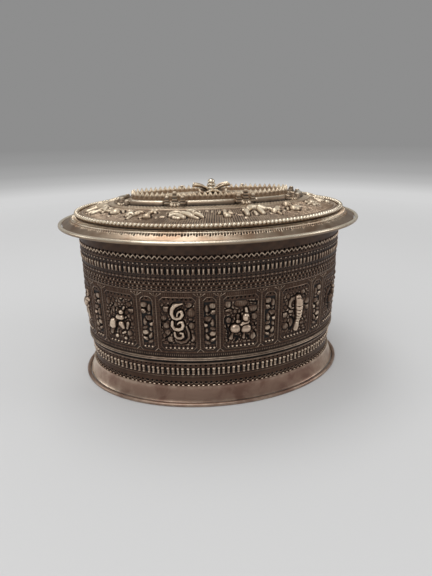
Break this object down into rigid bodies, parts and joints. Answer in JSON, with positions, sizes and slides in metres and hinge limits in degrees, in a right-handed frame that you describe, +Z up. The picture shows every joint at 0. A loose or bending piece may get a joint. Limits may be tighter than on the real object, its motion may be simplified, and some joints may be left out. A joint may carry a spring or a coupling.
{
  "type": "paan box",
  "caption": "Oval silver paan box: a deep pull-off cover with framed panels, wide flange and domed top over an inner wall, on a flared foot.",
  "frame": {"origin": "on the table under the middle of the box", "axes": "+Z up, +X along the oval's long side, -Y towards the long side that the picture shows"},
  "size_m": [0.15, 0.108, 0.0988],
  "materials": {
    "worn_silver": "aged silver, handled smooth, with brown tarnish",
    "dark_silver": "chased silver with dark tarnish in its recesses",
    "bright_silver": "raised silver wire rubbed bright"
  },
  "bodies": {
    "base": {"foot_wire": "worn_silver", "foot_flare": "worn_silver", "inner_wall": "dark_silver", "floor_plate": "dark_silver", "ledge_wire": "worn_silver"},
    "cover": {"cover_wall": "dark_silver", "hem_wire": "worn_silver", "flange_plate": "worn_silver", "rim_wire": "bright_silver", "dome_plate": "worn_silver", "beaded_wire": "bright_silver", "pointed_strip": "worn_silver", "rosette": "worn_silver", "finial_bud": "bright_silver", "ring_bar_1": "bright_silver", "ring_knot_1": "worn_silver", "ring_bar_2": "bright_silver", "ring_knot_2": "worn_silver", "ring_bar_3": "bright_silver", "ring_knot_3": "worn_silver", "ring_bar_4": "bright_silver", "ring_knot_4": "worn_silver", "ring_bar_5": "bright_silver", "ring_knot_5": "worn_silver", "ring_bar_6": "bright_silver", "ring_knot_6": "worn_silver", "ring_bar_7": "bright_silver", "ring_knot_7": "worn_silver", "ring_bar_8": "bright_silver", "ring_knot_8": "worn_silver"}
  },
  "joints": [
    {"name": "cover_lift", "type": "slide", "parent": "base", "child": "cover", "axis": [0, 0, 1], "range_m": [0, 0.07]}
  ]
}
